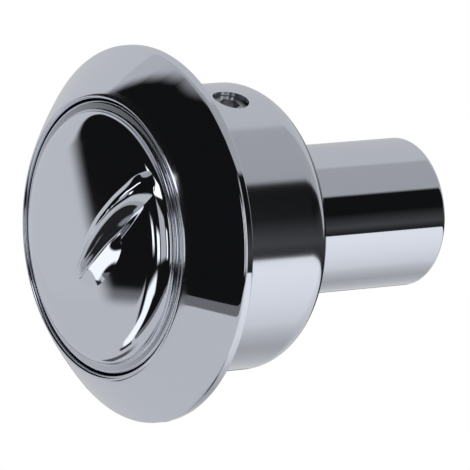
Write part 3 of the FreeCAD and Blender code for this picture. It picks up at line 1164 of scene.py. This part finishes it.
class Room:
    """The room that the chrome mirrors: a brightness for each direction, where 1 is white.

    A direction is given in degrees, as its turn from straight in front of the button towards +X, which
    runs from 180 below MIDDLE_TURN to 180 above it, and its rise above the horizon.
    """

    MIDDLE_TURN = 60.0
    DARK = 0.007
    WINDOW = 1.4
    TABLE_EDGE = 0.17
    GREY_CARD = 0.60
    STEEP_FLOOR = 0.40
    OWN_SHADE = 0.02
    WHITE_CARD = 1.2

    def __init__(self, graph: Graph, direction: Socket) -> None:
        """Works out the turn and the rise.

        Args:
            graph: The world's graph.
            direction: The direction.
        """
        x, y, z = graph.parts(direction)
        cos, sin = math.cos(math.radians(self.MIDDLE_TURN)), math.sin(math.radians(self.MIDDLE_TURN))
        inputs = {0: x * cos + y * sin, 1: x * sin - y * cos}
        turn = graph.node("ShaderNodeMath", {"operation": "ARCTAN2"}, inputs)
        self.turn = turn.degrees() + self.MIDDLE_TURN
        self.rise = graph.node("ShaderNodeMath", {"operation": "ARCSINE"}, {0: z}).degrees()

    def patched(self, level: Socket, patches: Sequence[Patch]) -> Socket:
        """Lays patches over a brightness, one after another.

        Args:
            level: The brightness.
            patches: The patches.

        Returns:
            The new brightness.
        """
        for patch in patches:
            level = level.towards(patch.level, self.turn.band(*patch.turn) * self.rise.band(*patch.rise))
        return level

    def level(self) -> Socket:
        """Lays the parts of the room over each other, from the dark behind to the white card in front.

        Returns:
            The brightness of the whole room.
        """
        turn, rise = self.turn, self.rise
        glow = rise.ramp(-14.0, -8.0, 0.3, 1.0) * rise.ramp(-6.0, 9.0, 0.05, 0.0)
        level = self.patched(self.DARK + turn.step(90.0, 125.0) * glow, ROOM_LIGHTS)
        level = level.towards(self.WINDOW, self.slanted_window())
        level = level.towards(self.ceiling(), (rise - self.ceiling_edge()).step(-2.0, 2.5))
        table = turn.curve((-48.0, -9.1), (-40.0, -24.0), (20.0, -27.8), (32.0, -30.5), (126.0, -16.5))
        level = level.towards(self.TABLE_EDGE, (table - rise).step(-0.2, 0.2))
        card_edge = rise.curve((-9.0, -54.6), (-4.0, -57.2), (34.5, -71.0))
        level = level.towards(self.GREY_CARD, (card_edge - turn).step(-0.9, 1.2))
        thickness = turn.curve((-48.0, 0.5), (-40.0, 4.0), (20.0, 5.2), (32.0, 5.2), (110.0, 0.4))
        level = level.towards(self.table_top(), (table - thickness - rise).step(-0.3, 0.3))
        level = level.towards(self.STEEP_FLOOR, rise.ramp(-74.0, -64.0, 1.0, 0.0))
        level = level.towards(self.OWN_SHADE, rise.ramp(-81.8, -80.2, 1.0, 0.0))
        level = self.patched(level, TABLE_SHADES)
        return level.towards(self.WHITE_CARD, self.white_card())

    def slanted_window(self) -> Socket:
        """Cuts out a window whose sill and head climb to the right.

        Returns:
            1 in the window and 0 outside it.
        """
        sill = self.rise - self.turn.ramp(-22.0, 12.0, 6.0, 19.0)
        head = self.rise - self.turn.ramp(-24.0, 12.0, 15.5, 28.0)
        tall = sill.step(-0.5, 0.5) - head.step(-0.5, 0.5)
        return tall * self.turn.band(-26.0, -24.0, 11.0, 12.5)

    def ceiling_edge(self) -> Socket:
        """The rise at which the dark room ends and the ceiling starts."""
        return self.turn.curve(
            (-71.0, 34.5), (-64.0, 41.4), (-56.0, 47.6), (-46.0, 52.4), (-34.0, 55.5), (60.0, 55.5),
            (128.0, 33.5), (150.0, 24.5), (170.0, 11.5), (182.0, -5.5),
        )

    def ceiling(self) -> Socket:
        """The brightness of the ceiling."""
        behind = self.turn.ramp(100.0, 178.0, 0.40, 0.42) + self.turn.step(176.0, 186.0) * 0.14
        return behind + self.turn.ramp(-62.0, -20.0, 0.12, 0.0)

    def table_top(self) -> Socket:
        """The brightness of the table, which is lighter on the right and behind."""
        fall = self.rise.ramp(-56.0, -24.0, 0.26, 0.0) * self.turn.ramp(100.0, 175.0, 0.0, 1.0)
        return self.turn.ramp(60.0, 120.0, 0.58, 0.92) - fall - self.turn.ramp(165.0, 205.0, 0.0, 0.28)

    def white_card(self) -> Socket:
        """Cuts out a card with a slanted left side and lower edge.

        Returns:
            1 in the card and 0 outside it.
        """
        left = self.turn + self.rise.ramp(-21.0, -15.0, 1.0, -4.5)
        wide = left.step(-48.5, -46.5) - self.turn.step(-31.0, -28.0)
        low_edge = self.rise - self.turn.ramp(-44.0, -32.0, -25.5, -16.0)
        return wide * (low_edge.step(-1.0, 1.0) - self.rise.step(-12.5, -10.5))


@dataclass
class Studio:
    """Pale floor, camera at the photograph's angle and the light."""

    azimuth: float = 54.753
    elevation: float = 7.211
    distance: float = 1.449
    pixels_per_mm: float = 4.736
    axis_pixel: tuple = (140.13, 234.0)
    picture: float = 470.0
    rim_half: float = 1.1 * MM
    sensor: float = 36.0
    floor_gap: float = 0.5 * MM
    floor_half: float = 4.0

    def build(self) -> None:
        """Makes the camera, the floor, the room's light and the lamps."""
        bpy.context.scene.view_settings.view_transform = "Standard"
        self.camera()
        self.floor()
        self.room()
        for lamp in LAMPS:
            self.hang(lamp)

    def camera(self) -> None:
        """Sets the camera where the photograph was taken from."""
        turn, rise = math.radians(self.azimuth), math.radians(self.elevation)
        back = Vector((math.sin(turn) * math.cos(rise), -math.cos(turn) * math.cos(rise), math.sin(rise)))
        right = Vector((math.cos(turn), math.sin(turn), 0.0))
        up = back.cross(right)
        data = bpy.data.cameras.new("camera")
        data.sensor_width = self.sensor
        data.lens = self.sensor * self.pixels_per_mm * self.distance / MM / self.picture
        data.clip_start, data.clip_end = 0.05, 20.0
        cam = bpy.data.objects.new("camera", data)
        bpy.context.scene.collection.objects.link(cam)
        middle = self.picture / 2
        side = (middle - self.axis_pixel[0]) / self.pixels_per_mm * MM
        lift = (self.axis_pixel[1] - middle) / self.pixels_per_mm * MM
        target = Vector((0.0, -self.rim_half, 0.0)) + right * side + up * lift
        cam.location = target + back * self.distance
        cam.rotation_mode = "QUATERNION"
        cam.rotation_quaternion = (-back).to_track_quat("-Z", "Y")
        bpy.context.scene.camera = cam

    def floor(self) -> None:
        """Lays a plain pale floor just under the button; the camera sees it as white."""
        bm = bmesh.new()
        bmesh.ops.create_grid(bm, x_segments=1, y_segments=1, size=self.floor_half)
        mesh = bpy.data.meshes.new("studio_floor")
        bm.to_mesh(mesh)
        bm.free()
        floor = bpy.data.objects.new("studio_floor", mesh)
        floor.location.z = CAD_BOX[0].z - self.floor_gap
        floor.visible_glossy = False
        bpy.context.scene.collection.objects.link(floor)
        material = bpy.data.materials.new("pale_floor")
        material.use_nodes = True
        graph = Graph(material.node_tree)
        plain = graph.node("ShaderNodeBsdfDiffuse", {}, {"Color": white(0.8)})
        shown = graph.node("ShaderNodeEmission", {}, {"Color": white(1.0), "Strength": 1.0})
        seen = graph.node("ShaderNodeLightPath", {}, {}, "Is Camera Ray")
        shader = graph.node("ShaderNodeMixShader", {}, {0: seen, 1: plain, 2: shown})
        graph.node_end("ShaderNodeOutputMaterial", shader)
        mesh.materials.append(material)

    def room(self) -> None:
        """Surrounds the button with a dark room over a pale table, with a grey ceiling and soft boxes."""
        world = bpy.data.worlds.new("studio_room")
        bpy.context.scene.world = world
        world.use_nodes = True
        graph = Graph(world.node_tree)
        level = Room(graph, graph.node("ShaderNodeTexCoord", {}, {}, "Generated")).level()
        seen = graph.node("ShaderNodeLightPath", {}, {}, "Is Camera Ray")
        level = level.towards(1.0, seen)
        shader = graph.node("ShaderNodeBackground", {}, {"Color": white(1.0), "Strength": level})
        graph.node_end("ShaderNodeOutputWorld", shader)

    @staticmethod
    def hang(lamp: Lamp) -> None:
        """Adds a soft square lamp that faces the button and leaves no mirror image.

        Args:
            lamp: The lamp.
        """
        data = bpy.data.lights.new(lamp.name, "AREA")
        data.size = lamp.size
        data.energy = lamp.power
        obj = bpy.data.objects.new(lamp.name, data)
        obj.location = lamp.place
        obj.rotation_mode = "QUATERNION"
        obj.rotation_quaternion = (-Vector(lamp.place)).to_track_quat("-Z", "Y")
        obj.visible_glossy = False
        bpy.context.scene.collection.objects.link(obj)


def main() -> None:
    """Builds the pieces, the finishes and the studio."""
    logging.basicConfig(level=logging.INFO, format="%(message)s")
    WallFlange().build()
    Housing().build()
    Barrel().build()
    ButtonCap().build()
    ReturnSpring().build()
    CarriedNodes().dress()
    Studio().build()


if __name__ == "__main__":
    main()
